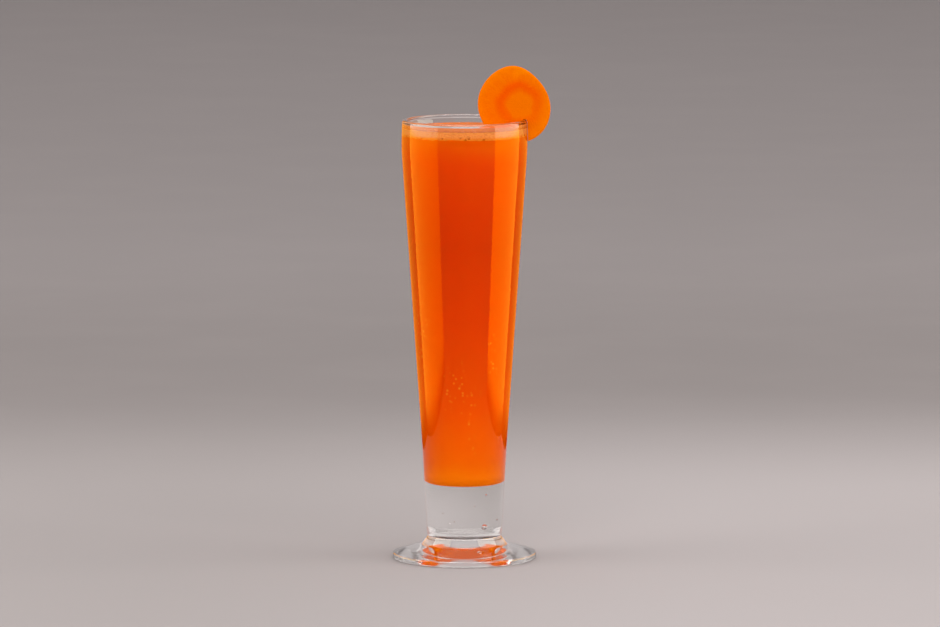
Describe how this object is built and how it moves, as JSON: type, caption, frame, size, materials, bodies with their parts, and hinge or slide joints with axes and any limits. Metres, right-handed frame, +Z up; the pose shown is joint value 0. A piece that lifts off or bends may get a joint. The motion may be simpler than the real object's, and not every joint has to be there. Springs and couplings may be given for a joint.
{
  "type": "glass of carrot juice",
  "caption": "Tall footed glass of carrot juice topped with froth, with a round slice of carrot slit and set on the rim. Thick clear base, slightly flared straight sides.",
  "frame": {"origin": "the middle of the flat underside of the foot, on the glass's own axis", "axes": "+Z up along the glass's axis; +X towards the slice of carrot on the rim; the slice's flat faces look along -Y and +Y"},
  "size_m": [0.0828, 0.0756, 0.2601],
  "materials": {
    "clear_glass": "clear pressed glass with smooth polished faces",
    "juice": "opaque orange carrot juice",
    "froth": "pale orange froth of fine bubbles",
    "carrot": "cut raw carrot with a paler core and radial grain"
  },
  "bodies": {
    "root": {"glass": "clear_glass", "juice": "juice", "froth": "froth", "carrot_slice": "carrot"}
  },
  "joints": []
}
